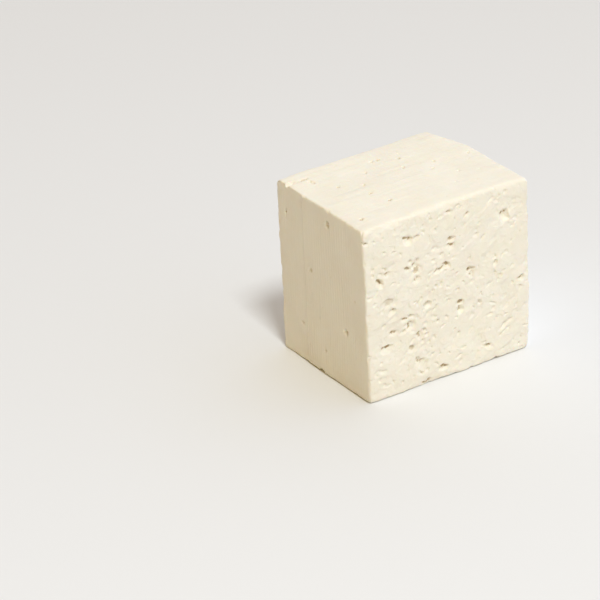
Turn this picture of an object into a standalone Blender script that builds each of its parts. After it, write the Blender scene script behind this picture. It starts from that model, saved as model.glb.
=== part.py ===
"""Paneer block: a thick block of fresh pressed cheese, standing on its flat base.

Metres, +Z up. The origin is at the middle of the base. X runs along the front face, which is
open in texture and looks along -Y. The left face, at -X, is a fresh knife cut. The top is a
smooth pressed skin. The right and back faces are finished like the front, with fewer openings.
"""

import math
import random

import bmesh
import bpy
from mathutils import Matrix, Vector, noise

MM = 0.001

# Driving sizes of the block, in metres
WIDTH = 0.1033
DEPTH = 0.0815
HEIGHT = 0.100

# Edge roundings, in metres: a moulded edge is soft and a cut edge is nearly sharp
TOP_FRONT_RADIUS = 0.0021
TOP_BACK_RADIUS = 0.0028
TOP_RIGHT_RADIUS = 0.0024
UPRIGHT_RADIUS = 0.0018
CUT_RADIUS = 0.0011
BASE_RADIUS = 0.0013
ROUNDING_STEPS = 3
GRID_CUTS = 9

# How far the hand-made block strays from a true box, in metres
FRONT_CROWN = 0.0010
CORNER_INSET = 0.0075
CORNER_REACH = 0.032
BELLY = 0.0007
FOOT_INSET = 0.0008
LEAN = 0.0006
WAVE_HEIGHT = 0.0005
WAVE_LENGTH = 0.030
WAVE_SEED = 5

# An opening is a crumpled ball that sits with this share of its depth under the face
SINK_SHARE = 0.25
CRUMPLE = 0.30
FINE_BALL = 2
COARSE_BALL = 1
FINE_FROM = 3.3 * MM

# Openings between the curd grains of the front face, in millimetres and degrees:
# across from its left edge, up from the base, length, height, depth, tilt
FRONT_OPENINGS = (
    (87.5, 83.4, 4.6, 5.4, 3.8, 0),
    (27.2, 86.8, 5.0, 3.6, 3.2, -12),
    (53.8, 79.3, 5.2, 2.0, 2.2, 10),
    (54.0, 75.7, 5.4, 2.6, 2.4, -12),
    (30.5, 71.9, 3.6, 3.2, 3.4, -40),
    (31.6, 68.5, 7.0, 2.4, 1.7, 12),
    (32.0, 63.7, 4.8, 2.6, 1.8, 26),
    (9.3, 68.4, 5.8, 2.6, 3.2, -58),
    (12.9, 71.7, 6.2, 2.1, 1.5, 6),
    (50.6, 66.2, 5.2, 2.1, 3.2, -32),
    (45.7, 64.8, 6.4, 2.1, 2.0, 8),
    (65.3, 58.4, 5.0, 2.5, 3.3, 20),
    (66.1, 55.1, 3.6, 2.6, 1.6, 82),
    (81.2, 57.5, 3.2, 1.9, 2.3, 52),
    (13.9, 55.0, 9.0, 2.9, 2.0, -3),
    (15.8, 49.8, 4.4, 2.6, 2.6, 20),
    (37.8, 47.5, 4.0, 3.0, 3.5, 0),
    (27.5, 44.0, 3.4, 2.1, 2.5, -20),
    (27.7, 38.1, 5.6, 4.8, 2.8, 58),
    (16.4, 37.0, 5.2, 2.3, 2.0, -4),
    (12.0, 29.4, 7.2, 2.9, 3.3, 3),
    (32.8, 31.1, 4.6, 3.4, 2.3, 75),
    (27.7, 24.8, 5.6, 2.8, 2.3, 22),
    (30.8, 17.0, 3.2, 2.6, 3.1, 70),
    (33.1, 14.9, 4.6, 3.4, 1.8, 10),
    (58.8, 41.5, 4.8, 2.7, 2.5, 10),
    (58.4, 37.4, 3.8, 3.0, 2.9, 80),
    (97.5, 43.5, 3.6, 2.1, 2.4, -50),
    (75.7, 10.1, 4.8, 2.1, 2.5, -15),
    (47.1, 7.5, 6.6, 2.5, 2.3, -8),
    (36.2, 1.6, 6.4, 2.2, 2.0, 3),
    (87.2, 19.5, 11.0, 1.5, 1.1, 33),
    (1.0, 93.7, 4.6, 1.7, 1.6, -28),
    (52.5, 94.9, 4.4, 2.0, 1.5, 0),
)

# Openings of the smooth top: across from its left edge, back from its front edge, and the
# same four sizes. The first three make the crack at the back of its left edge.
TOP_OPENINGS = (
    (3.4, 70.9, 9.0, 1.8, 1.5, -4),
    (11.2, 70.5, 6.0, 1.5, 1.2, 6),
    (13.0, 65.6, 6.0, 1.1, 0.9, -82),
    (54.3, 66.0, 2.6, 1.6, 1.6, 8),
    (50.4, 66.5, 3.0, 1.1, 1.0, 4),
    (28.3, 34.2, 1.9, 1.4, 1.4, 0),
    (70.7, 39.5, 3.8, 1.6, 0.9, 12),
    (59.3, 49.4, 2.0, 1.3, 1.1, 60),
)

# Openings of the knife-cut left face: across from its back edge, up, and the same four sizes
LEFT_OPENINGS = (
    (48.6, 91.9, 3.4, 3.2, 2.6, -30),
    (8.7, 84.4, 4.0, 1.6, 1.6, 85),
    (30.0, 58.4, 3.0, 2.0, 1.8, 20),
    (61.0, 34.6, 3.6, 2.2, 2.2, -25),
    (20.0, 23.5, 2.6, 1.8, 1.6, 10),
)

# Openings drawn at random: face, how many, shortest and longest in metres, and the seed
SCATTERED = (
    ("front", 22, 1.3 * MM, 2.4 * MM, 11),
    ("right", 16, 1.8 * MM, 5.6 * MM, 23),
    ("back", 18, 1.8 * MM, 6.0 * MM, 37),
    ("top", 5, 1.2 * MM, 1.9 * MM, 41),
)
SCATTER_MARGIN = 5.0 * MM
SCATTER_GAP = 1.2 * MM

# Crumbs broken out of an edge: two faces that meet there, share of the edge's length, size
EDGE_CHIPS = (
    ("left", "top", 0.34, 2.2 * MM),
    ("left", "top", 0.61, 1.8 * MM),
    ("back", "top", 0.30, 2.6 * MM),
    ("back", "top", 0.66, 3.2 * MM),
    ("front", "base", 0.79, 2.6 * MM),
    ("left", "base", 0.45, 3.4 * MM),
    ("right", "base", 0.35, 3.0 * MM),
    ("back", "base", 0.58, 3.2 * MM),
)

PANEER_COLOUR = (0.905, 0.842, 0.700, 1.0)
PANEER_ROUGHNESS = 0.55

X, Y, Z = Vector((1, 0, 0)), Vector((0, 1, 0)), Vector((0, 0, 1))

# Each face: the corner that its openings are measured from, its across and up directions,
# its outward normal, and its width and height
FACES = {
    "front": (Vector((-WIDTH / 2, -DEPTH / 2, 0)), X, Z, -Y, WIDTH, HEIGHT),
    "right": (Vector((WIDTH / 2, -DEPTH / 2, 0)), Y, Z, X, DEPTH, HEIGHT),
    "back": (Vector((WIDTH / 2, DEPTH / 2, 0)), -X, Z, Y, WIDTH, HEIGHT),
    "left": (Vector((-WIDTH / 2, DEPTH / 2, 0)), -Y, Z, -X, DEPTH, HEIGHT),
    "top": (Vector((-WIDTH / 2, -DEPTH / 2, HEIGHT)), X, Y, Z, WIDTH, DEPTH),
    "base": (Vector((-WIDTH / 2, DEPTH / 2, 0)), X, -Y, -Z, WIDTH, DEPTH),
}


def clear_scene():
    for obj in list(bpy.data.objects):
        bpy.data.objects.remove(obj, do_unlink=True)


def new_collection(name):
    collection = bpy.data.collections.new(name)
    bpy.context.scene.collection.children.link(collection)
    return collection


def smooth_step(value):
    value = min(max(value, 0.0), 1.0)
    return value * value * (3 - 2 * value)


def faces_of_point(point):
    """The names of the box faces that a point of the true box lies on."""
    return {
        name
        for name, (corner, _, _, normal, _, _) in FACES.items()
        if abs((point - corner).dot(normal)) < 0.01 * MM
    }


def edge_radius(names):
    """The rounding of the box edge between two named faces."""
    if "base" in names:
        return BASE_RADIUS
    if "left" in names:
        return CUT_RADIUS
    if "top" in names:
        radii = {"front": TOP_FRONT_RADIUS, "back": TOP_BACK_RADIUS, "right": TOP_RIGHT_RADIUS}
        return radii[(names - {"top"}).pop()]
    return UPRIGHT_RADIUS


def strayed(point):
    """Where a point of the rounded box goes on the real, slightly uneven block."""
    across = 2 * point.x / WIDTH
    up = point.z / HEIGHT
    frontness = 0.5 - point.y / DEPTH
    crown = FRONT_CROWN * (1 - across * across) * up**4 * smooth_step(frontness)
    corner = smooth_step((point.y - DEPTH / 2 + CORNER_REACH) / CORNER_REACH)
    inset = CORNER_INSET * corner * (0.5 + across / 2) ** 8 * (0.45 + 0.55 * up)
    belly = (BELLY * 4 * up * (1 - up) - FOOT_INSET * (1 - up) ** 3) * smooth_step(across)
    lean = LEAN * up**4 * smooth_step(-across)
    wave = noise.noise_vector(point / WAVE_LENGTH + Vector((3.1, 7.7, 1.9)))
    lift = smooth_step(point.z / (6 * MM))
    shift = Vector((wave.x, wave.y, wave.z)) * WAVE_HEIGHT * lift
    return point + shift + Vector((belly - lean - inset, 0, crown))


def make_body(collection):
    """The plain block: a gridded box, rounded edge by edge, then moved off true."""
    shape = bmesh.new()
    bmesh.ops.create_cube(shape, size=1.0)
    box_matrix = Matrix.Translation((0, 0, HEIGHT / 2)) @ Matrix.Diagonal((WIDTH, DEPTH, HEIGHT, 1))
    bmesh.ops.transform(shape, matrix=box_matrix, verts=shape.verts)
    bmesh.ops.subdivide_edges(shape, edges=shape.edges[:], cuts=GRID_CUTS, use_grid_fill=True)
    weights = shape.edges.layers.float.new("bevel_weight_edge")
    for edge in shape.edges:
        shared = faces_of_point(edge.verts[0].co) & faces_of_point(edge.verts[1].co)
        if len(shared) == 2:
            edge[weights] = edge_radius(shared) / TOP_BACK_RADIUS
    mesh = bpy.data.meshes.new("paneer_block")
    shape.to_mesh(mesh)
    shape.free()

    block = bpy.data.objects.new("paneer_block", mesh)
    collection.objects.link(block)
    bevel = block.modifiers.new("rounding", "BEVEL")
    bevel.limit_method = "WEIGHT"
    bevel.width = TOP_BACK_RADIUS
    bevel.segments = ROUNDING_STEPS
    bevel.use_clamp_overlap = False
    apply_modifiers(block)

    for vertex in block.data.vertices:
        vertex.co = strayed(vertex.co)
    return block


def apply_modifiers(obj):
    """Makes the object's evaluated shape its own mesh."""
    bpy.context.view_layer.update()
    graph = bpy.context.evaluated_depsgraph_get()
    mesh = bpy.data.meshes.new_from_object(obj.evaluated_get(graph))
    obj.modifiers.clear()
    obj.data = mesh


def crumpled_ball(name, fine, seed):
    """A closed ball of radius 1 with an uneven skin."""
    ball = bmesh.new()
    steps = FINE_BALL if fine else COARSE_BALL
    bmesh.ops.create_icosphere(ball, subdivisions=steps, radius=1.0)
    away = Vector((seed * 1.37, seed * 0.71, seed * 2.13))
    for vertex in ball.verts:
        swell = noise.noise(vertex.co * 1.3 + away) + 0.5 * noise.noise(vertex.co * 2.9 - away)
        vertex.co *= 1 + CRUMPLE * swell
    mesh = bpy.data.meshes.new(name)
    ball.to_mesh(mesh)
    ball.free()
    return mesh


def cut_opening(cutters, face, across, up, length, height, depth, tilt, seed):
    """One opening of a face, as a cutter. Lengths are in metres and tilt in degrees."""
    corner, across_axis, up_axis, normal, _, _ = FACES[face]
    name = f"opening_{len(cutters.objects):03d}"
    cutter = bpy.data.objects.new(name, crumpled_ball(name, length > FINE_FROM, seed))
    cutters.objects.link(cutter)
    middle = strayed(corner + across_axis * across + up_axis * up) - normal * depth * SINK_SHARE
    frame = Matrix((across_axis, up_axis, normal)).transposed().to_4x4()
    turn = Matrix.Rotation(math.radians(tilt), 4, "Z")
    size = Matrix.Diagonal((length / 2, height / 2, depth * (1 - SINK_SHARE), 1))
    cutter.data.transform(Matrix.Translation(middle) @ frame @ turn @ size)
    cutter.hide_render = True
    cutter.display_type = "WIRE"


def cut_listed(cutters, face, rows, seed):
    for number, row in enumerate(rows):
        across, up, length, height, depth = (value * MM for value in row[:5])
        cut_opening(cutters, face, across, up, length, height, depth, row[5], seed + number)


def scattered_places(face, count, shortest, longest, seed, taken):
    """Random openings of a face that keep clear of each other and of the taken ones."""
    draw = random.Random(seed)
    _, _, _, _, face_width, face_height = FACES[face]
    places = []
    while len(places) < count:
        length = shortest + (longest - shortest) * draw.random() ** 2.2
        across = draw.uniform(SCATTER_MARGIN, face_width - SCATTER_MARGIN)
        up = draw.uniform(SCATTER_MARGIN, face_height - SCATTER_MARGIN)
        tilt = draw.gauss(12, 28)
        slimness = draw.uniform(0.40, 0.75)
        if all(
            math.hypot(across - x, up - y) > (length + other) / 2 + SCATTER_GAP
            for x, y, other in taken
        ):
            taken.append((across, up, length))
            places.append((across, up, length, length * slimness, length * 0.62, tilt))
    return places


def cut_scattered(cutters):
    listed = {"front": FRONT_OPENINGS, "top": TOP_OPENINGS, "left": LEFT_OPENINGS}
    for face, count, shortest, longest, seed in SCATTERED:
        taken = [(row[0] * MM, row[1] * MM, row[2] * MM) for row in listed.get(face, ())]
        places = scattered_places(face, count, shortest, longest, seed, taken)
        for number, place in enumerate(places):
            cut_opening(cutters, face, *place, seed * 100 + number)


def cut_edge_chips(cutters):
    for number, (side, cap, share, size) in enumerate(EDGE_CHIPS):
        face_height = FACES[side][5] if cap == "top" else 0.0
        across = FACES[side][4] * share
        cut_opening(cutters, side, across, face_height, size * 1.8, size, size * 0.7, 0, 700 + number)


def centre_on_base(block, cutters):
    """Moves the block and its cutters so that the origin is at the middle of the base."""
    points = [vertex.co for vertex in block.data.vertices]
    low = Vector([min(point[axis] for point in points) for axis in range(3)])
    high = Vector([max(point[axis] for point in points) for axis in range(3)])
    middle = (low + high) / 2
    move = Matrix.Translation((-middle.x, -middle.y, -low.z))
    for obj in (block, *cutters.objects):
        obj.data.transform(move)


def paneer_material():
    material = bpy.data.materials.new("paneer")
    material.use_nodes = True
    shader = material.node_tree.nodes["Principled BSDF"]
    shader.inputs["Base Color"].default_value = PANEER_COLOUR
    shader.inputs["Roughness"].default_value = PANEER_ROUGHNESS
    shader.inputs["Metallic"].default_value = 0.0
    return material


def main():
    clear_scene()
    noise.seed_set(WAVE_SEED)
    parts = new_collection("paneer_block_parts")
    cutters = new_collection("cutters")
    block = make_body(parts)
    block.data.materials.append(paneer_material())
    cut_listed(cutters, "front", FRONT_OPENINGS, 1)
    cut_listed(cutters, "top", TOP_OPENINGS, 201)
    cut_listed(cutters, "left", LEFT_OPENINGS, 301)
    cut_scattered(cutters)
    cut_edge_chips(cutters)
    centre_on_base(block, cutters)

    carve = block.modifiers.new("openings", "BOOLEAN")
    carve.operation = "DIFFERENCE"
    carve.operand_type = "COLLECTION"
    carve.collection = cutters
    carve.solver = "EXACT"


main()
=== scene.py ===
"""Looks of the paneer block: its fine surface, its material, the light and the camera.

Metres, +Z up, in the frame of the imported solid: the origin is at the middle of the base, X runs
along the open-textured front face, which looks along -Y, and the knife cut is at -X. The fine
surface is carved on a true box, whose faces are flat, and is then moved as the solid is.
"""

import math
import random

import bmesh
import bpy
import numpy as np
from mathutils import Matrix, Vector, kdtree, noise


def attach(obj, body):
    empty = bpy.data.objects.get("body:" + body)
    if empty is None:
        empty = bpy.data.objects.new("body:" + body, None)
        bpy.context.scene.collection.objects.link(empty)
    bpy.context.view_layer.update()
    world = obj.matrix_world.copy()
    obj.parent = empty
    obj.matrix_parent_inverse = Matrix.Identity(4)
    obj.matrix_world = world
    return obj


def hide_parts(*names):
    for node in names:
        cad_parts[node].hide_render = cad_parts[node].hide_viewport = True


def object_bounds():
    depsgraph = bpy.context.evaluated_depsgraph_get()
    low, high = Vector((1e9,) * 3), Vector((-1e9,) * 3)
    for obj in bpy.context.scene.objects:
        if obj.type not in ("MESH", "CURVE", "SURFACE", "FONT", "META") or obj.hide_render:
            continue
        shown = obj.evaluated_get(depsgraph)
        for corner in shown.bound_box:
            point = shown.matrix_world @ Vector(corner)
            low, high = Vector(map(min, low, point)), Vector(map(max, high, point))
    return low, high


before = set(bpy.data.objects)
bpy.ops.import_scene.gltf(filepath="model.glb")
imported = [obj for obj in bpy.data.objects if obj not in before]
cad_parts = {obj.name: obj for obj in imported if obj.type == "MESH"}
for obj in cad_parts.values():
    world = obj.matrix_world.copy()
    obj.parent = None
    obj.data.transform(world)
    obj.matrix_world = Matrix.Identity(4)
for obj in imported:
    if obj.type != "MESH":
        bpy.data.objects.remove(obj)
cad_low, cad_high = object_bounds()

MM = 0.001

# Driving sizes of the block and its edge roundings, in metres, as the solid has them
WIDTH = 0.1033
DEPTH = 0.0815
HEIGHT = 0.100
TOP_FRONT_RADIUS = 0.0021
TOP_BACK_RADIUS = 0.0028
TOP_RIGHT_RADIUS = 0.0024
UPRIGHT_RADIUS = 0.0018
CUT_RADIUS = 0.0011
BASE_RADIUS = 0.0013
ROUNDING_STEPS = 8

# How far the hand-made block strays from a true box, in metres
FRONT_CROWN = 0.0010
CORNER_INSET = 0.0075
CORNER_REACH = 0.032
BELLY = 0.0007
FOOT_INSET = 0.0008
LEAN = 0.0006
WAVE_HEIGHT = 0.0005
WAVE_LENGTH = 0.030
# Where in the noise the wave starts, its seed, and the height over which it fades in from the
# flat base
WAVE_OFFSET = (3.1, 7.7, 1.9)
WAVE_SEED = 5
LIFT_OVER = 6 * MM

# Size of the mesh's cells before and after the openings are carved, in metres
FIRST_CELL = 0.50 * MM
FINE_CELL = 0.38 * MM
# The most triangles that the finished surface has
MOST_TRIANGLES = 190_000
# A point this near a face of the true box lies on it, and one this low lies on the flat base
TOUCHING = 0.01 * MM
FLAT_BELOW = 0.06 * MM

# Openings between the curd grains of the front face, in millimetres and degrees:
# across from its left edge, up from the base, length, height, depth, tilt
FRONT_OPENINGS = (
    (87.5, 83.4, 4.6, 5.4, 3.8, 0),
    (27.2, 86.8, 5.0, 3.6, 3.2, -12),
    (32.1, 86.3, 4.0, 1.8, 1.2, 24),
    (53.8, 79.3, 5.2, 2.0, 2.2, 10),
    (54.0, 75.7, 5.4, 2.6, 2.4, -12),
    (30.5, 71.9, 3.6, 3.2, 3.4, -40),
    (28.1, 74.8, 2.4, 2.0, 2.2, 0),
    (32.7, 73.9, 3.0, 1.9, 2.2, -60),
    (26.2, 70.7, 4.2, 1.9, 1.7, -28),
    (31.6, 68.5, 7.0, 2.4, 1.7, 12),
    (32.0, 63.7, 4.8, 2.6, 1.8, 26),
    (9.3, 68.4, 5.8, 2.6, 3.2, -58),
    (12.9, 71.7, 6.2, 2.1, 1.5, 6),
    (50.6, 66.2, 5.2, 2.1, 3.2, -32),
    (45.7, 64.8, 6.4, 2.1, 2.0, 8),
    (48.4, 72.1, 2.8, 1.9, 1.9, 0),
    (65.3, 58.4, 5.0, 2.5, 3.3, 20),
    (66.1, 55.1, 3.6, 2.6, 1.6, 82),
    (81.2, 57.5, 3.2, 1.9, 2.3, 52),
    (81.9, 60.6, 3.4, 1.2, 1.5, -50),
    (13.9, 55.0, 9.0, 2.9, 1.2, -3),
    (15.8, 49.8, 4.4, 2.6, 2.6, 20),
    (37.8, 47.5, 4.0, 3.0, 4.2, 0),
    (27.5, 44.0, 3.4, 2.1, 2.5, -20),
    (23.8, 42.9, 4.6, 1.9, 1.8, -12),
    (27.7, 38.1, 5.6, 4.8, 2.8, 58),
    (22.2, 36.2, 5.0, 1.9, 1.5, 18),
    (16.4, 37.0, 5.2, 2.3, 2.0, -4),
    (12.0, 29.4, 7.2, 2.9, 3.3, 3),
    (32.8, 31.1, 4.6, 3.4, 2.3, 75),
    (35.3, 33.0, 2.8, 1.7, 1.8, -45),
    (27.7, 24.8, 5.6, 2.8, 1.7, 22),
    (34.5, 26.8, 3.2, 1.8, 1.6, 10),
    (30.8, 17.0, 3.2, 2.6, 3.1, 70),
    (33.1, 14.9, 4.6, 3.4, 1.8, 10),
    (58.8, 41.5, 4.8, 2.7, 1.9, 10),
    (58.4, 37.4, 3.8, 3.0, 2.9, 80),
    (70.7, 37.9, 3.2, 1.7, 1.9, -70),
    (97.5, 43.5, 3.6, 2.1, 2.4, -50),
    (75.7, 10.1, 4.8, 2.1, 2.5, -15),
    (47.1, 7.5, 6.6, 2.5, 2.3, -8),
    (36.2, 1.6, 6.4, 2.2, 2.0, 3),
    (87.2, 19.5, 11.0, 1.5, 1.1, 33),
    (1.0, 93.7, 4.6, 1.7, 1.6, -28),
    (52.5, 94.9, 4.4, 2.0, 1.5, 0),
)

# Small spots of the front face: across and up, in millimetres
FRONT_SPOTS = (
    (12.1, 92.9), (41.7, 93.5), (88.3, 95.8), (93.3, 90.0), (64.2, 90.1), (82.1, 92.2),
    (37.0, 88.2), (46.0, 76.6), (12.9, 75.0), (9.7, 72.8), (55.8, 68.2), (60.9, 72.0),
    (70.1, 77.3), (73.6, 73.9), (91.7, 67.3), (43.5, 55.4), (57.2, 49.2), (51.2, 44.4),
    (83.2, 46.5), (30.7, 41.1), (10.6, 43.2), (44.6, 35.5), (50.3, 35.6), (7.7, 32.4),
    (34.2, 23.8), (57.5, 23.4), (55.6, 26.5), (94.6, 23.7), (40.7, 17.1), (33.3, 8.5),
    (15.1, 9.8), (20.3, 7.2), (85.9, 5.5), (96.2, 5.5), (92.9, 8.9), (97.8, 9.3),
)

# Openings of the smooth top: across from its left edge, back from its front edge, and the
# same four sizes. The first three make the crack at the back of its left edge.
TOP_OPENINGS = (
    (3.4, 70.9, 9.0, 1.8, 1.5, -4),
    (11.2, 70.5, 6.0, 1.5, 1.2, 6),
    (13.0, 65.6, 6.0, 1.1, 0.9, -82),
    (54.3, 66.0, 2.6, 1.6, 1.6, 8),
    (50.4, 66.5, 3.0, 1.1, 1.0, 4),
    (28.3, 34.2, 1.9, 1.4, 1.4, 0),
    (70.7, 39.5, 3.8, 1.6, 0.9, 12),
    (59.3, 49.4, 2.0, 1.3, 1.1, 60),
)
TOP_SPOTS = (
    (63.4, 60.0), (76.9, 46.3), (31.4, 45.2), (31.4, 21.8), (70.0, 18.3), (80.2, 28.7),
    (89.5, 23.8), (96.7, 43.6), (8.2, 12.8),
)

# Openings of the knife-cut left face: across from its back edge, up, and the same four sizes
LEFT_OPENINGS = (
    (48.6, 91.9, 3.4, 3.2, 2.6, -30),
    (8.7, 84.4, 4.0, 1.6, 1.6, 85),
    (30.0, 58.4, 3.0, 2.0, 1.8, 20),
    (61.0, 34.6, 3.6, 2.2, 2.2, -25),
    (20.0, 23.5, 2.6, 1.8, 1.6, 10),
)

# Openings drawn at random on the faces that the solid draws them on, with its seeds: face,
# how many, shortest and longest in metres, and the seed
SCATTERED = (
    ("right", 16, 1.8 * MM, 5.6 * MM, 23),
    ("back", 18, 1.8 * MM, 6.0 * MM, 37),
    ("top", 5, 1.2 * MM, 1.9 * MM, 41),
)
# Smaller spots drawn at random, which the solid leaves out
SPOTS = (
    ("front", 100, 0.9 * MM, 1.9 * MM, 71),
    ("right", 70, 0.8 * MM, 2.0 * MM, 72),
    ("back", 80, 0.8 * MM, 2.0 * MM, 73),
    ("left", 16, 0.7 * MM, 1.5 * MM, 74),
    ("top", 14, 0.6 * MM, 1.1 * MM, 75),
)
SCATTER_MARGIN = 5.0 * MM
SCATTER_GAP = 1.2 * MM
# How much short ones are favoured, their tilt's mean and spread in degrees, and how high and how
# deep they are for their length
SCATTER_SKEW = 2.2
SCATTER_TILT = (12, 28)
SCATTER_SLIMNESS = (0.40, 0.75)
SCATTER_DEPTH = 0.62

# Spots at listed places: their length, their tilt, how high and how deep they are for their
# length, and the seeds
SPOT_LENGTH = (1.5 * MM, 2.6 * MM)
SPOT_TILT = (0, 30)
SPOT_SLIMNESS = (0.5, 0.8)
SPOT_DEPTH = 0.6
FRONT_SPOT_SEED = 61
TOP_SPOT_SEED = 62

# Crumbs broken out of an edge: two faces that meet there, share of the edge's length, size
EDGE_CHIPS = (
    ("left", "top", 0.34, 2.2 * MM),
    ("left", "top", 0.61, 1.8 * MM),
    ("back", "top", 0.30, 2.6 * MM),
    ("back", "top", 0.66, 3.2 * MM),
    ("front", "base", 0.79, 2.6 * MM),
    ("left", "base", 0.45, 3.4 * MM),
    ("right", "base", 0.35, 3.0 * MM),
    ("back", "base", 0.58, 3.2 * MM),
)
CHIP_LENGTH = 1.8
CHIP_DEPTH = 0.5

# An opening is a shallow scoop, sized as a share of the opening, with smaller, deeper holes in
# it. An opening much longer than high is a plain groove.
SCOOP_LENGTH = 1.25
SCOOP_HEIGHT = 1.5
SCOOP_DEPTH = 0.50
SCOOP_DROP = 0.15
SCOOP_SOFTNESS = 0.85
GROOVE_FROM = 4
GROOVE_HEIGHT = 1.7

# The holes: how long an opening has to be for more than one, how many, how they lie along and
# over it, and their size, depth and turn. More of them are smaller.
HOLES_FROM = 2.4 * MM
HOLE_COUNTS = (1, 2, 3, 3)
HOLE_SPREAD = 0.8
HOLE_SHIFT = 0.1
HOLE_RISE = (-0.05, 0.20)
HOLE_SIZE = (0.45, 0.70)
HOLE_CROWDING = 0.6
HOLE_TALLEST = 1.3
HOLE_ROUNDNESS = (0.75, 1.0)
HOLE_DEPTH = (0.6, 0.9)
HOLE_TURN = (0, 25)
HOLE_SOFTNESS = 0.45
HOLE_SEED = 90

# An opening of an upright face burrows up under its lip by this share of its depth. Its slopes
# start a little outside its ring, steep above and gentler below.
UNDERCUT = 0.25
RING_REACH = 1.15
STEEP_SLOPE = 0.55
GENTLER_BELOW = 0.50

# How far from its middle an opening is looked for, for its length and height, how deep under the
# face, and how its depth fades out there
OPENING_REACH = 0.6
DEEPEST = 6 * MM
FADE_OVER = 1.5 * MM

# Short faint strokes between the openings: face, how many, shortest and longest in metres, seed
STROKES = (
    ("front", 170, 1.6 * MM, 5.2 * MM, 81),
    ("right", 100, 1.8 * MM, 5.5 * MM, 82),
    ("back", 110, 1.8 * MM, 5.5 * MM, 83),
)
# How much short strokes are favoured, the share of the face they lie in, their height in metres,
# their depth in millimetres, and their tilt's mean and spread in degrees
STROKE_SKEW = 1.8
STROKE_SPAN = (0.02, 0.98)
STROKE_HEIGHT = (1.1 * MM, 2.2 * MM)
STROKE_DEPTH_MM = (0.25, 0.90)
STROKE_TILT = (20, 30)
STROKE_SOFTNESS = 0.65

# Rows of noise: the size of its lumps in millimetres (one, or one an axis), its height, which is
# in millimetres where it moves points, and its seed. First the noise that bends the outlines of
# the openings along each axis, and the noise that makes their depth uneven.
BENDS = (
    ((2.6, 0.75, 1), (2.6, 0.75, 2), (2.6, 0.75, 3)),
    ((1.1, 0.34, 4), (1.1, 0.34, 5), (1.1, 0.34, 6)),
)
UNEVEN_DEPTH = (1.9, 0.25, 7)

# Noise of the open-textured faces, whose curd runs at a slant
CURD_SLANT = math.radians(30)
BROAD_SWELL = (11, 0.28, 11)
NARROW_SWELL = (4.5, 0.14, 12)
CURD_FLOW = ((9, 9, 2.4), 0.10, 13)
CURD_GRAIN = (1.4, 0.06, 18)

# Flakes of curd, raised or sunk where their noise is over a level, in patches
FLAKES = ((7.5, 6, 4.6), 1, 14)
FLAKE_RIMS = (1.8, 0.25, 15)
FLAKE_SLOPE = 0.16
RAISED_FROM = 0.12
RAISED_MM = 0.22
RAISED_PATCHES = (9, 2, 16)
SUNK_FROM = 0.16
SUNK_MM = 0.26
SUNK_PATCHES = (9, 2, 17)
PATCH_LEVEL = 0.7

# Noise of the smooth top, which has soft folds
FOLDS = ((15, 5, 5), 1, 41)
FOLD_RIMS = (3, 0.3, 42)
FOLD_FROM = 0.15
FOLD_SLOPE = 0.35
FOLD_MM = 0.14
TOP_STREAKS = ((24, 3, 5), 0.06, 43)
TOP_SWELL = (14, 0.22, 44)

# The knife cut: a strip along its back edge lies lower, and faint ribs run up it
CUT_SWELL = (13, 0.16, 52)
STRIP_WIDTH = 25 * MM
STRIP_SLOPE = 1.6 * MM
STRIP_MM = 0.35
STRIP_WOBBLE = ((10, 6, 30), 0.5, 51)
RIB_PITCH = 2.2 * MM
RIB_HEIGHT = 0.16 * MM
RIB_BEND = ((8, 7, 22), 0.6, 53)
RIB_PATCHES = (17, 1, 54)
RIB_LEAST = 0.2

# Noise of the openings' insides, and how fast a face's own relief fades into them and over its
# edges
CRUMBS = ((1.4, 0.14, 61), (0.7, 0.07, 62))
PIT_FADE = 0.5 * MM
FACE_FADE = 1.6 * MM

# Wear of each edge, by its two faces: how deep the chips out of it are, and how far it is worn
# down in waves, in millimetres
EDGE_WEAR = (
    ("left", "top", 0.50, 0.25),
    ("left", "front", 0.80, 0.20),
    ("left", "back", 0.20, 0.15),
    ("back", "top", 0.30, 0.55),
    ("right", "top", 0.30, 0.20),
    ("front", "top", 0.25, 0.35),
    ("front", "right", 0.60, 0.15),
    ("right", "back", 0.60, 0.40),
    ("front", "base", 0.60, 0.30),
    ("left", "base", 0.55, 0.30),
    ("right", "base", 0.55, 0.30),
    ("back", "base", 0.55, 0.30),
)
EDGE_CHIPPING = (3.4, 1, 71)
CHIPPING_RIMS = (1.4, 0.5, 72)
CHIPPING_FROM = 0.25
EDGE_WAVES = (8, 1, 73)
WEAR_REACH = 3.6 * MM
# The whole skin but the base's lies this much deeper, as its relief also rises above it
SKIN_INSET = 0.03 * MM

# Colours of the curd, which is cloudy, of its brighter grains, and of painted shade in the
# openings.
# Each range is the noise level, or the depth in millimetres, over which a colour comes in, and
# each share is how much of it there is then.
CURD_DARK = (0.885, 0.824, 0.684)
CURD_LIGHT = (0.915, 0.862, 0.735)
CLOUD_RANGE = (0.3, 0.7)
GRAIN_COLOUR = (0.930, 0.885, 0.775)
GRAIN_RANGE = (0.50, 0.75)
GRAIN_SHARE = 0.35
# Painted shade: the openings' insides are coloured darker and browner the deeper they are, in place
# of the shade that falls in them
PIT_SHADE_COLOUR = (0.60, 0.48, 0.30)
PIT_SHADE_RANGE_MM = (0.3, 1.5)
PIT_SHADE_SHARE = 0.90
ROUGHNESS = (0.38, 0.50)
SPECULAR = 0.50
SUBSURFACE_WEIGHT = 0.20
SUBSURFACE_RADIUS = (1.0, 0.62, 0.34)
SUBSURFACE_SCALE = 0.9 * MM

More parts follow.
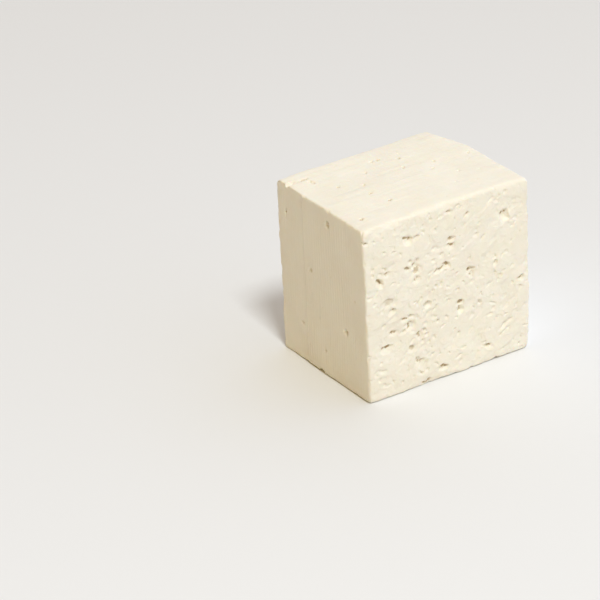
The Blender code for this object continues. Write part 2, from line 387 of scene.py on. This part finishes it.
# Noise of the material: scale, detail, distortion, and stretch along each axis
CLOUDS = (55.0, 3.0, 0.0, (1, 1, 1))
GRAINS = (420.0, 2.0, 0.0, (1, 1, 1))
FINE_SKIN = (1500.0, 3.0, 0.0, (1, 1, 1))
CURD_SKIN = (330.0, 3.0, 0.8, (1, 1, 1))
ARC_SKIN = (170.0, 2.0, 0.5, (1.0, 1.0, 1.3))
STREAK_SKIN = (30.0, 3.0, 0.0, (1.0, 16.0, 16.0))
SCRAPE_SKIN = (60.0, 3.0, 0.0, (8.0, 10.0, 1.0))
ARC_STEP = (0.50, 0.56)
# Height of each skin's relief in millimetres
FINE_SKIN_MM = 0.04
CURD_SKIN_MM = 0.24
ARC_SKIN_MM = 0.08
STREAK_SKIN_MM = 0.32
SCRAPE_SKIN_MM = 0.20
# How far a normal has to turn toward the top or the knife cut for their skins to start and to
# be in full
FACING = (0.55, 0.85)

# The camera: its view of the block as the photograph has it, with the origin at its distance
# and its place across and up from the line of sight
VIEW_AZIMUTH = math.radians(31.99)
VIEW_ELEVATION = math.radians(27.60)
VIEW_ROLL = math.radians(-2.90)
ORIGIN_DISTANCE = 1.9207
ORIGIN_ACROSS = 0.0572
ORIGIN_UP = -0.0248
LENS_MM = 216.0
SENSOR_MM = 36.0
CLIP_START = 0.01

# The studio light: warm and dim on the side of the knife cut, and bright on the other, mixed
# where the direction's X is nearer 0 than this
DIM_SIDE = (0.31, 0.19, 0.01)
BRIGHT_SIDE = (0.83, 0.86, 0.96)
SIDES_MEET = 0.35
KEY_DIRECTION = (-0.15, -0.50, 0.85)
KEY_DISTANCE = 3.0
KEY_SIZE = 0.6
KEY_POWER = 52.5
KEY_COLOUR = (0.94, 0.99, 1.0)

# The ground: half the length of its sides, how far under the base it lies, and its finish
FLOOR_HALF = 4.0
FLOOR_DROP = 0.05 * MM
FLOOR_COLOUR = (0.82, 0.82, 0.82)
FLOOR_ROUGHNESS = 0.9
FLOOR_SPECULAR = 0.1

X, Y, Z = np.eye(3)

# Each face: the corner that its openings are measured from, its across and up directions,
# its outward normal, and its width and height
FACES = {
    "front": (np.array((-WIDTH / 2, -DEPTH / 2, 0)), X, Z, -Y, WIDTH, HEIGHT),
    "right": (np.array((WIDTH / 2, -DEPTH / 2, 0)), Y, Z, X, DEPTH, HEIGHT),
    "back": (np.array((WIDTH / 2, DEPTH / 2, 0)), -X, Z, Y, WIDTH, HEIGHT),
    "left": (np.array((-WIDTH / 2, DEPTH / 2, 0)), -Y, Z, -X, DEPTH, HEIGHT),
    "top": (np.array((-WIDTH / 2, -DEPTH / 2, HEIGHT)), X, Y, Z, WIDTH, DEPTH),
    "base": (np.array((-WIDTH / 2, DEPTH / 2, 0)), X, -Y, -Z, WIDTH, DEPTH),
}
OPEN_FACES = ("front", "right", "back")


def smooth_step(value):
    value = np.clip(value, 0.0, 1.0)
    return value * value * (3 - 2 * value)


def cell_hash(cells, seed):
    """A number from 0 to 1 for each whole-numbered cell."""
    value = cells.astype(np.int64) * np.array((374761393, 668265263, 2147483647))
    value = (value.sum(axis=1) + seed * 1442695041) & 0xFFFFFFFF
    value = ((value ^ (value >> 13)) * 1274126177) & 0xFFFFFFFF
    value = ((value ^ (value >> 15)) * 2246822519) & 0xFFFFFFFF
    return (value ^ (value >> 16)) / 0xFFFFFFFF


def field(points, size, seed):
    """Smooth noise from -1 to 1 at each point, with lumps of this size (one, or one an axis)."""
    cells = points / np.broadcast_to(size, 3)
    low = np.floor(cells)
    share = cells - low
    share = share**3 * (share * (share * 6 - 15) + 10)
    total = np.zeros(len(points))
    for step in np.ndindex(2, 2, 2):
        weight = np.prod(np.where(step, share, 1 - share), axis=1)
        total += weight * cell_hash(low + step, seed)
    return total * 2 - 1


def noise_row(points, row):
    """A row's noise at each point."""
    size, height, seed = row
    return field(points, np.multiply(size, MM), seed) * height


def object_from_shape(name, shape):
    mesh = bpy.data.meshes.new(name)
    shape.to_mesh(mesh)
    shape.free()
    obj = bpy.data.objects.new(name, mesh)
    bpy.context.scene.collection.objects.link(obj)
    return obj


def apply_modifiers(obj):
    """Makes the object's evaluated shape its own mesh."""
    bpy.context.view_layer.update()
    graph = bpy.context.evaluated_depsgraph_get()
    mesh = bpy.data.meshes.new_from_object(obj.evaluated_get(graph))
    obj.modifiers.clear()
    old = obj.data
    obj.data = mesh
    bpy.data.meshes.remove(old)


def edge_radius(names):
    """The rounding of the box edge between two named faces."""
    if "base" in names:
        return BASE_RADIUS
    if "left" in names:
        return CUT_RADIUS
    if "top" in names:
        radii = {"front": TOP_FRONT_RADIUS, "back": TOP_BACK_RADIUS, "right": TOP_RIGHT_RADIUS}
        return radii[(names - {"top"}).pop()]
    return UPRIGHT_RADIUS


def true_box():
    """The block's true box with each edge rounded, as one object."""
    shape = bmesh.new()
    bmesh.ops.create_cube(shape, size=1.0)
    box_matrix = Matrix.Translation((0, 0, HEIGHT / 2)) @ Matrix.Diagonal((WIDTH, DEPTH, HEIGHT, 1))
    bmesh.ops.transform(shape, matrix=box_matrix, verts=shape.verts)
    weights = shape.edges.layers.float.new("bevel_weight_edge")
    for edge in shape.edges:
        middle = np.array((edge.verts[0].co + edge.verts[1].co) / 2)
        names = {
            name
            for name, (corner, _, _, normal, _, _) in FACES.items()
            if abs((middle - corner) @ normal) < TOUCHING
        }
        edge[weights] = edge_radius(names) / TOP_BACK_RADIUS
    box = object_from_shape("paneer_surface", shape)
    bevel = box.modifiers.new("rounding", "BEVEL")
    bevel.limit_method = "WEIGHT"
    bevel.width = TOP_BACK_RADIUS
    bevel.segments = ROUNDING_STEPS
    return box


def remesh(obj, cell):
    modifier = obj.modifiers.new("cells", "REMESH")
    modifier.mode = "VOXEL"
    modifier.voxel_size = cell
    modifier.use_smooth_shade = True
    apply_modifiers(obj)


def vertices_of(obj):
    points = np.empty(len(obj.data.vertices) * 3, np.float32)
    obj.data.vertices.foreach_get("co", points)
    return points.reshape(-1, 3).astype(float)


def normals_of(obj):
    normals = np.empty(len(obj.data.vertices) * 3, np.float32)
    obj.data.vertex_normals.foreach_get("vector", normals)
    return normals.reshape(-1, 3).astype(float)


def set_vertices(obj, points):
    obj.data.vertices.foreach_set("co", points.astype(np.float32).ravel())
    obj.data.update()


def face_places(points, face):
    """Each point's place across and up a face, and how far out of it."""
    corner, across, up, normal, _, _ = FACES[face]
    offset = points - corner
    return offset @ across, offset @ up, offset @ normal


def scattered_places(face, count, shortest, longest, seed, taken):
    """Random openings of a face that keep clear of each other and of the taken ones."""
    draw = random.Random(seed)
    _, _, _, _, face_width, face_height = FACES[face]
    places = []
    while len(places) < count:
        length = shortest + (longest - shortest) * draw.random() ** SCATTER_SKEW
        across = draw.uniform(SCATTER_MARGIN, face_width - SCATTER_MARGIN)
        up = draw.uniform(SCATTER_MARGIN, face_height - SCATTER_MARGIN)
        tilt = draw.gauss(*SCATTER_TILT)
        slimness = draw.uniform(*SCATTER_SLIMNESS)
        if all(
            math.hypot(across - x, up - y) > (length + other) / 2 + SCATTER_GAP
            for x, y, other in taken
        ):
            taken.append((across, up, length))
            places.append((across, up, length, length * slimness, length * SCATTER_DEPTH, tilt))
    return places


def spot_places(spots, seed):
    """Small openings at listed places, with drawn sizes."""
    draw = random.Random(seed)
    places = []
    for across, up in spots:
        length = draw.uniform(*SPOT_LENGTH)
        height = length * draw.uniform(*SPOT_SLIMNESS)
        tilt = draw.gauss(*SPOT_TILT)
        places.append((across * MM, up * MM, length, height, length * SPOT_DEPTH, tilt))
    return places


def all_openings():
    """Every opening of each face: across, up, length, height and depth in metres, and tilt."""
    listed = {"front": FRONT_OPENINGS, "top": TOP_OPENINGS, "left": LEFT_OPENINGS}
    openings = {
        face: [tuple(value * MM for value in row[:5]) + (row[5],) for row in listed.get(face, ())]
        for face in FACES
    }
    taken = {face: [place[:3] for place in places] for face, places in openings.items()}
    for face, count, shortest, longest, seed in SCATTERED:
        openings[face] += scattered_places(face, count, shortest, longest, seed, taken[face])
    openings["front"] += spot_places(FRONT_SPOTS, FRONT_SPOT_SEED)
    openings["top"] += spot_places(TOP_SPOTS, TOP_SPOT_SEED)
    for face, count, shortest, longest, seed in SPOTS:
        taken[face] = [place[:3] for place in openings[face]]
        openings[face] += scattered_places(face, count, shortest, longest, seed, taken[face])
    return openings


def opening_parts(face, opening, draw):
    """An opening as ellipses: a shallow scoop, then the deeper holes that lie in it.

    Each has its place across and up, length, height and depth in metres, tilt in degrees, and
    the softness of its slopes. An opening of the smooth top is one plain hole.
    """
    across, up, length, height, depth, tilt = opening
    if length > GROOVE_FROM * height:
        return [(across, up, length, height * GROOVE_HEIGHT, depth, tilt, SCOOP_SOFTNESS)]
    if face == "top":
        return [(across, up, length, height, depth, tilt, HOLE_SOFTNESS)]
    if face in OPEN_FACES:
        up -= UNDERCUT * depth / 2
    scoop_size = (length * SCOOP_LENGTH, height * SCOOP_HEIGHT, depth * SCOOP_DEPTH)
    parts = [(across, up - SCOOP_DROP * height, *scoop_size, tilt, SCOOP_SOFTNESS)]
    holes = draw.choice(HOLE_COUNTS) if length > HOLES_FROM else 1
    turn = math.radians(tilt)
    for number in range(holes):
        share = (number + 0.5) / holes - 0.5 + draw.uniform(-HOLE_SHIFT, HOLE_SHIFT)
        along = share * length * HOLE_SPREAD
        over = height * draw.uniform(*HOLE_RISE)
        size = length / holes**HOLE_CROWDING * draw.uniform(*HOLE_SIZE)
        parts.append((
            across + along * math.cos(turn) - over * math.sin(turn),
            up + along * math.sin(turn) + over * math.cos(turn),
            size,
            min(size, height * HOLE_TALLEST) * draw.uniform(*HOLE_ROUNDNESS),
            depth * draw.uniform(*HOLE_DEPTH),
            tilt + draw.gauss(*HOLE_TURN),
            HOLE_SOFTNESS,
        ))
    return parts


def stroke_parts(face, count, shortest, longest, seed):
    """Faint strokes of a face, each a long shallow scoop."""
    draw = random.Random(seed)
    _, _, _, _, face_width, face_height = FACES[face]
    parts = []
    for _ in range(count):
        length = shortest + (longest - shortest) * draw.random() ** STROKE_SKEW
        across = draw.uniform(*STROKE_SPAN) * face_width
        up = draw.uniform(*STROKE_SPAN) * face_height
        height = draw.uniform(*STROKE_HEIGHT)
        depth = draw.uniform(*STROKE_DEPTH_MM) * MM
        tilt = draw.gauss(*STROKE_TILT)
        parts.append((across, up, length, height, depth, tilt, STROKE_SOFTNESS))
    return parts


def part_depth(across, up, part):
    """How deep one ellipse is at each place of its face: steep above, gentle below."""
    middle_across, middle_up, length, height, depth, tilt, softness = part
    turn = math.radians(tilt)
    along = (across - middle_across) * math.cos(turn) + (up - middle_up) * math.sin(turn)
    over = (up - middle_up) * math.cos(turn) - (across - middle_across) * math.sin(turn)
    ring = np.hypot(along / (length / 2), over / (height / 2))
    rise = height * abs(math.cos(turn)) + length * abs(math.sin(turn))
    lower = smooth_step(0.5 - (up - middle_up) / rise)
    slope = softness * (STEEP_SLOPE + GENTLER_BELOW * lower)
    return depth * smooth_step((RING_REACH - ring) / slope)


def all_parts():
    """Every ellipse of each face."""
    draw = random.Random(HOLE_SEED)
    parts = {
        face: [part for opening in openings for part in opening_parts(face, opening, draw)]
        for face, openings in all_openings().items()
    }
    for face, count, shortest, longest, seed in STROKES:
        parts[face] += stroke_parts(face, count, shortest, longest, seed)
    for side, cap, share, size in EDGE_CHIPS:
        up = FACES[side][5] if cap == "top" else 0.0
        chip_size = (size * CHIP_LENGTH, size, size * CHIP_DEPTH)
        parts[side].append((FACES[side][4] * share, up, *chip_size, 0, SCOOP_SOFTNESS))
    return parts


def carve_openings(points, parts_by_face):
    """Moves the points of the true box into every opening, and gives each its hole's depth."""
    warp = np.zeros_like(points)
    for rows in BENDS:
        warp += np.stack([noise_row(points, row) * MM for row in rows], axis=1)
    uneven = noise_row(points, UNEVEN_DEPTH)
    moved = points.copy()
    deepest = np.zeros(len(points))
    for face, parts in parts_by_face.items():
        _, across_axis, up_axis, normal, _, _ = FACES[face]
        across, up, out = face_places(points, face)
        across = across + warp @ across_axis
        up = up + warp @ up_axis
        depth = np.zeros(len(points))
        hole = np.zeros(len(points))
        for part in parts:
            reach = part[2] * OPENING_REACH + part[3] * OPENING_REACH
            near = np.flatnonzero(
                (np.abs(across - part[0]) < reach)
                & (np.abs(up - part[1]) < reach)
                & (out > -DEEPEST)
            )
            under = np.clip(1 + out[near] / (FADE_OVER + part[4]), 0, 1)
            found = part_depth(across[near], up[near], part) * under * (1 + uneven[near])
            depth[near] = np.maximum(depth[near], found)
            if part[6] == HOLE_SOFTNESS:
                hole[near] = np.maximum(hole[near], found)
        burrow = UNDERCUT if face in OPEN_FACES else 0.0
        moved += depth[:, None] * (burrow * up_axis - normal)
        deepest = np.maximum(deepest, hole)
    return moved, deepest


def depth_after_remesh(points, old_points, old_depth):
    """Each point's opening depth, taken from the nearest of the old points."""
    tree = kdtree.KDTree(len(old_points))
    for number, point in enumerate(old_points):
        tree.insert(point, number)
    tree.balance()
    nearest = [tree.find(point)[1] for point in points]
    return old_depth[nearest]


def edge_distance(points, first, second):
    """Distance of each point from the box edge between two faces."""
    _, _, out_first = face_places(points, first)
    _, _, out_second = face_places(points, second)
    return np.hypot(out_first, out_second)


def open_relief(points):
    """Height of the open-textured faces' skin at each point."""
    turned = points @ np.array((
        (math.cos(CURD_SLANT), 0, -math.sin(CURD_SLANT)),
        (0, 1, 0),
        (math.sin(CURD_SLANT), 0, math.cos(CURD_SLANT)),
    ))
    swell = noise_row(points, BROAD_SWELL) * MM + noise_row(points, NARROW_SWELL) * MM
    flow = noise_row(turned, CURD_FLOW) * MM
    grain = noise_row(points, CURD_GRAIN) * MM
    flakes = noise_row(turned, FLAKES) + noise_row(points, FLAKE_RIMS)
    raised = smooth_step((flakes - RAISED_FROM) / FLAKE_SLOPE)
    raised = raised * smooth_step(noise_row(points, RAISED_PATCHES) + PATCH_LEVEL)
    sunk = smooth_step((-SUNK_FROM - flakes) / FLAKE_SLOPE)
    sunk = sunk * smooth_step(noise_row(points, SUNK_PATCHES) + PATCH_LEVEL)
    return swell + flow + grain + raised * RAISED_MM * MM - sunk * SUNK_MM * MM


def top_relief(points):
    """Height of the smooth top's skin at each point."""
    folds = noise_row(points, FOLDS) + noise_row(points, FOLD_RIMS)
    relief = smooth_step((folds - FOLD_FROM) / FOLD_SLOPE) * FOLD_MM * MM
    relief += noise_row(points, TOP_STREAKS) * MM
    relief += noise_row(points, TOP_SWELL) * MM
    return relief


def cut_relief(points):
    """Height of the knife cut's skin at each point."""
    wobble = noise_row(points, STRIP_WOBBLE) * MM
    strip = smooth_step((points[:, 1] - (DEPTH / 2 - STRIP_WIDTH) + wobble) / STRIP_SLOPE)
    relief = noise_row(points, CUT_SWELL) * MM - strip * STRIP_MM * MM
    bend = noise_row(points, RIB_BEND) * MM
    ribs = np.sin(2 * math.pi * (points[:, 1] + bend) / RIB_PITCH)
    rib_share = RIB_LEAST + (1 - RIB_LEAST) * smooth_step(0.5 + noise_row(points, RIB_PATCHES))
    relief += ribs * rib_share * RIB_HEIGHT / 2
    return relief


def fine_relief(points, normals, pit):
    """How far each point of the surface moves along its normal, in metres."""
    share = {}
    for face, (_, _, _, normal, _, _) in FACES.items():
        depth_share = smooth_step(1 + face_places(points, face)[2] / FACE_FADE)
        share[face] = depth_share * np.clip(normals @ normal, 0, 1)
    open_share = sum(share[face] for face in OPEN_FACES)
    inside = smooth_step(pit / PIT_FADE)
    crumbs = noise_row(points, CRUMBS[0]) * MM + noise_row(points, CRUMBS[1]) * MM
    relief = (1 - inside) * (
        open_share * open_relief(points)
        + share["top"] * top_relief(points)
        + share["left"] * cut_relief(points)
    )
    relief += inside * crumbs

    chipping = noise_row(points, EDGE_CHIPPING) + noise_row(points, CHIPPING_RIMS)
    ragged = np.clip(chipping - CHIPPING_FROM, 0, 1)
    wavy = smooth_step(0.5 + noise_row(points, EDGE_WAVES))
    for first, second, chipped, worn in EDGE_WEAR:
        near = smooth_step(1 - edge_distance(points, first, second) / WEAR_REACH)
        relief -= near * (ragged * chipped + wavy * worn) * MM
    return relief - SKIN_INSET * (1 - share["base"])


def strayed(points):
    """Where points of the true box go on the real, slightly uneven block, as in the solid."""
    across = 2 * points[:, 0] / WIDTH
    up = points[:, 2] / HEIGHT
    frontness = 0.5 - points[:, 1] / DEPTH
    crown = FRONT_CROWN * (1 - across**2) * up**4 * smooth_step(frontness)
    corner = smooth_step((points[:, 1] - DEPTH / 2 + CORNER_REACH) / CORNER_REACH)
    inset = CORNER_INSET * corner * (0.5 + across / 2) ** 8 * (0.45 + 0.55 * up)
    belly = (BELLY * 4 * up * (1 - up) - FOOT_INSET * (1 - up) ** 3) * smooth_step(across)
    lean = LEAN * up**4 * smooth_step(-across)
    away = Vector(WAVE_OFFSET)
    wave = np.array([noise.noise_vector(Vector(point) / WAVE_LENGTH + away) for point in points])
    lift = smooth_step(points[:, 2] / LIFT_OVER)
    moved = points + wave * (WAVE_HEIGHT * lift)[:, None]
    moved[:, 0] += belly - lean - inset
    moved[:, 2] += crown
    return moved


def into_cad_box(points):
    """Centres the points on the solid's box and keeps them inside it, on its flat base."""
    low, high = np.array(cad_low), np.array(cad_high)
    shift = (low + high) / 2 - (points.min(axis=0) + points.max(axis=0)) / 2
    shift[2] = low[2] - points[:, 2].min()
    return np.clip(points + shift, low, high)


def keep_largest_shell(obj):
    """Removes every loose scrap, so that one closed surface is left."""
    shape = bmesh.new()
    shape.from_mesh(obj.data)
    left = set(shape.verts)
    shells = []
    while left:
        queue = [left.pop()]
        shell = list(queue)
        while queue:
            for edge in queue.pop().link_edges:
                for vertex in edge.verts:
                    if vertex in left:
                        left.remove(vertex)
                        queue.append(vertex)
                        shell.append(vertex)
        shells.append(shell)
    shells.sort(key=len)
    for shell in shells[:-1]:
        bmesh.ops.delete(shape, geom=shell, context="VERTS")
    shape.to_mesh(obj.data)
    shape.free()


def paneer_surface():
    """The block's fine surface, with the depth of its openings stored on its points for the painted
    shade in them.
    """
    noise.seed_set(WAVE_SEED)
    block = true_box()
    remesh(block, FIRST_CELL)
    moved, depth = carve_openings(vertices_of(block), all_parts())
    set_vertices(block, moved)
    remesh(block, FINE_CELL)

    points = vertices_of(block)
    pit = depth_after_remesh(points, moved, depth)
    normals = normals_of(block)
    points = points + normals * fine_relief(points, normals, pit)[:, None]
    points[:, 2] = np.where(points[:, 2] < FLAT_BELOW, 0.0, points[:, 2])
    points = into_cad_box(strayed(points))
    set_vertices(block, points)

    triangles = sum(len(face.vertices) - 2 for face in block.data.polygons)
    thin = block.modifiers.new("thinning", "DECIMATE")
    thin.ratio = min(1.0, MOST_TRIANGLES / triangles)
    apply_modifiers(block)
    keep_largest_shell(block)
    pit = depth_after_remesh(vertices_of(block), points, pit)
    attribute = block.data.attributes.new("pit_depth", "FLOAT", "POINT")
    attribute.data.foreach_set("value", (pit / MM).astype(np.float32))
    block.data.shade_smooth()
    return block


def link(tree, from_node, from_socket, to_node, to_socket):
    tree.links.new(from_node.outputs[from_socket], to_node.inputs[to_socket])


def noise_texture(tree, coordinates, row):
    scale, detail, distortion, stretch = row
    mapping = tree.nodes.new("ShaderNodeMapping")
    mapping.inputs["Scale"].default_value = stretch
    link(tree, coordinates, "Object", mapping, "Vector")
    texture = tree.nodes.new("ShaderNodeTexNoise")
    texture.inputs["Scale"].default_value = scale
    texture.inputs["Detail"].default_value = detail
    texture.inputs["Distortion"].default_value = distortion
    link(tree, mapping, "Vector", texture, "Vector")
    return texture


def map_range(tree, from_node, from_socket, low, high, to_low, to_high):
    ranged = tree.nodes.new("ShaderNodeMapRange")
    ranged.inputs["From Min"].default_value = low
    ranged.inputs["From Max"].default_value = high
    ranged.inputs["To Min"].default_value = to_low
    ranged.inputs["To Max"].default_value = to_high
    link(tree, from_node, from_socket, ranged, "Value")
    return ranged


def mix_colour(tree, factor_node, factor_socket, first, second):
    """Mixes two colours, each given as a colour or as a node that makes one."""
    mix = tree.nodes.new("ShaderNodeMix")
    mix.data_type = "RGBA"
    link(tree, factor_node, factor_socket, mix, "Factor")
    for socket, colour in ((6, first), (7, second)):
        if isinstance(colour, tuple):
            mix.inputs[socket].default_value = (*colour, 1.0)
        else:
            tree.links.new(colour.outputs[2], mix.inputs[socket])
    return mix


def combined(tree, operation, first, second):
    """A sum or product of two values, each given as a number or as a node and its output."""
    node = tree.nodes.new("ShaderNodeMath")
    node.operation = operation
    for socket, value in enumerate((first, second)):
        if isinstance(value, (int, float)):
            node.inputs[socket].default_value = value
        else:
            tree.links.new(value[0].outputs[value[1]], node.inputs[socket])
    return node


def skin_height(tree, coordinates):
    """The height in millimetres of relief that is finer than the mesh, on each kind of face."""
    split = tree.nodes.new("ShaderNodeSeparateXYZ")
    link(tree, coordinates, "Normal", split, "Vector")
    cut_share = map_range(tree, split, "X", -FACING[0], -FACING[1], 0.0, 1.0)
    top_share = map_range(tree, split, "Z", FACING[0], FACING[1], 0.0, 1.0)
    closed_share = combined(tree, "ADD", (cut_share, "Result"), (top_share, "Result"))
    open_share = combined(tree, "SUBTRACT", 1.0, (closed_share, "Value"))

    fine = noise_texture(tree, coordinates, FINE_SKIN)
    curd = noise_texture(tree, coordinates, CURD_SKIN)
    arcs = noise_texture(tree, coordinates, ARC_SKIN)
    arc_steps = map_range(tree, arcs, "Fac", *ARC_STEP, 0.0, 1.0)
    arc_steps.interpolation_type = "SMOOTHSTEP"
    streaks = noise_texture(tree, coordinates, STREAK_SKIN)
    scrapes = noise_texture(tree, coordinates, SCRAPE_SKIN)

    total = combined(tree, "MULTIPLY", (fine, "Fac"), FINE_SKIN_MM)
    for texture, output, share, share_output, height in (
        (curd, "Fac", open_share, "Value", CURD_SKIN_MM),
        (arc_steps, "Result", open_share, "Value", ARC_SKIN_MM),
        (streaks, "Fac", top_share, "Result", STREAK_SKIN_MM),
        (scrapes, "Fac", cut_share, "Result", SCRAPE_SKIN_MM),
    ):
        shown = combined(tree, "MULTIPLY", (texture, output), (share, share_output))
        scaled = combined(tree, "MULTIPLY", (shown, "Value"), height)
        total = combined(tree, "ADD", (total, "Value"), (scaled, "Value"))
    return total


def paneer_material():
    material = bpy.data.materials.new("paneer")
    material.use_nodes = True
    tree = material.node_tree
    shader = tree.nodes["Principled BSDF"]
    coordinates = tree.nodes.new("ShaderNodeTexCoord")

    clouds = noise_texture(tree, coordinates, CLOUDS)
    cloud_share = map_range(tree, clouds, "Fac", *CLOUD_RANGE, 0.0, 1.0)
    body = mix_colour(tree, cloud_share, "Result", CURD_DARK, CURD_LIGHT)

    grains = noise_texture(tree, coordinates, GRAINS)
    grain_share = map_range(tree, grains, "Fac", *GRAIN_RANGE, 0.0, GRAIN_SHARE)
    grained = mix_colour(tree, grain_share, "Result", body, GRAIN_COLOUR)

    # Painted shade: the colour is darkened by each opening's depth, standing in for the shade
    # inside it
    pit = tree.nodes.new("ShaderNodeAttribute")
    pit.attribute_name = "pit_depth"
    pit_shade_share = map_range(tree, pit, "Fac", *PIT_SHADE_RANGE_MM, 0.0, PIT_SHADE_SHARE)
    shade_painted = mix_colour(tree, pit_shade_share, "Result", grained, PIT_SHADE_COLOUR)
    tree.links.new(shade_painted.outputs[2], shader.inputs["Base Color"])

    rough = map_range(tree, clouds, "Fac", *CLOUD_RANGE, *ROUGHNESS)
    link(tree, rough, "Result", shader, "Roughness")
    shader.inputs["Metallic"].default_value = 0.0
    shader.inputs["Specular IOR Level"].default_value = SPECULAR
    shader.inputs["Subsurface Weight"].default_value = SUBSURFACE_WEIGHT
    shader.inputs["Subsurface Radius"].default_value = SUBSURFACE_RADIUS
    shader.inputs["Subsurface Scale"].default_value = SUBSURFACE_SCALE

    bump = tree.nodes.new("ShaderNodeBump")
    bump.inputs["Distance"].default_value = MM
    link(tree, skin_height(tree, coordinates), "Value", bump, "Height")
    link(tree, bump, "Normal", shader, "Normal")
    return material


def make_floor():
    shape = bmesh.new()
    bmesh.ops.create_grid(shape, x_segments=1, y_segments=1, size=FLOOR_HALF)
    floor = object_from_shape("floor", shape)
    floor.location.z = -FLOOR_DROP
    material = bpy.data.materials.new("floor")
    material.use_nodes = True
    shader = material.node_tree.nodes["Principled BSDF"]
    shader.inputs["Base Color"].default_value = (*FLOOR_COLOUR, 1.0)
    shader.inputs["Roughness"].default_value = FLOOR_ROUGHNESS
    shader.inputs["Specular IOR Level"].default_value = FLOOR_SPECULAR
    floor.data.materials.append(material)


def make_key_light():
    """A soft square light that shines on the block from its direction."""
    data = bpy.data.lights.new("key", "AREA")
    data.shape = "SQUARE"
    data.size = KEY_SIZE
    data.energy = KEY_POWER
    data.color = KEY_COLOUR
    light = bpy.data.objects.new("key", data)
    toward = Vector(KEY_DIRECTION).normalized()
    light.location = toward * KEY_DISTANCE + Vector((0, 0, HEIGHT / 2))
    light.rotation_euler = toward.to_track_quat("Z", "Y").to_euler()
    bpy.context.scene.collection.objects.link(light)


def make_world():
    world = bpy.data.worlds.new("studio")
    world.use_nodes = True
    tree = world.node_tree
    direction = tree.nodes.new("ShaderNodeTexCoord")
    split = tree.nodes.new("ShaderNodeSeparateXYZ")
    link(tree, direction, "Generated", split, "Vector")
    side = map_range(tree, split, "X", -SIDES_MEET, SIDES_MEET, 0.0, 1.0)
    sky = mix_colour(tree, side, "Result", DIM_SIDE, BRIGHT_SIDE)
    tree.links.new(sky.outputs[2], tree.nodes["Background"].inputs["Color"])
    bpy.context.scene.world = world


def make_camera():
    toward = Vector((
        math.sin(VIEW_AZIMUTH) * math.cos(VIEW_ELEVATION),
        math.cos(VIEW_AZIMUTH) * math.cos(VIEW_ELEVATION),
        -math.sin(VIEW_ELEVATION),
    ))
    level_right = toward.cross(Vector((0, 0, 1))).normalized()
    level_up = level_right.cross(toward)
    right = level_right * math.cos(VIEW_ROLL) + level_up * math.sin(VIEW_ROLL)
    up = level_up * math.cos(VIEW_ROLL) - level_right * math.sin(VIEW_ROLL)
    data = bpy.data.cameras.new("camera")
    data.lens = LENS_MM
    data.sensor_width = SENSOR_MM
    data.clip_start = CLIP_START
    camera = bpy.data.objects.new("camera", data)
    camera.rotation_mode = "QUATERNION"
    camera.rotation_quaternion = Matrix((right, up, -toward)).transposed().to_quaternion()
    camera.location = -right * ORIGIN_ACROSS - up * ORIGIN_UP - toward * ORIGIN_DISTANCE
    bpy.context.scene.collection.objects.link(camera)
    bpy.context.scene.camera = camera


block = paneer_surface()
block.data.materials.clear()
block.data.materials.append(paneer_material())
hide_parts("paneer_block")
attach(block, "root")

make_floor()
make_world()
make_key_light()
make_camera()
bpy.context.scene.view_settings.view_transform = "Standard"
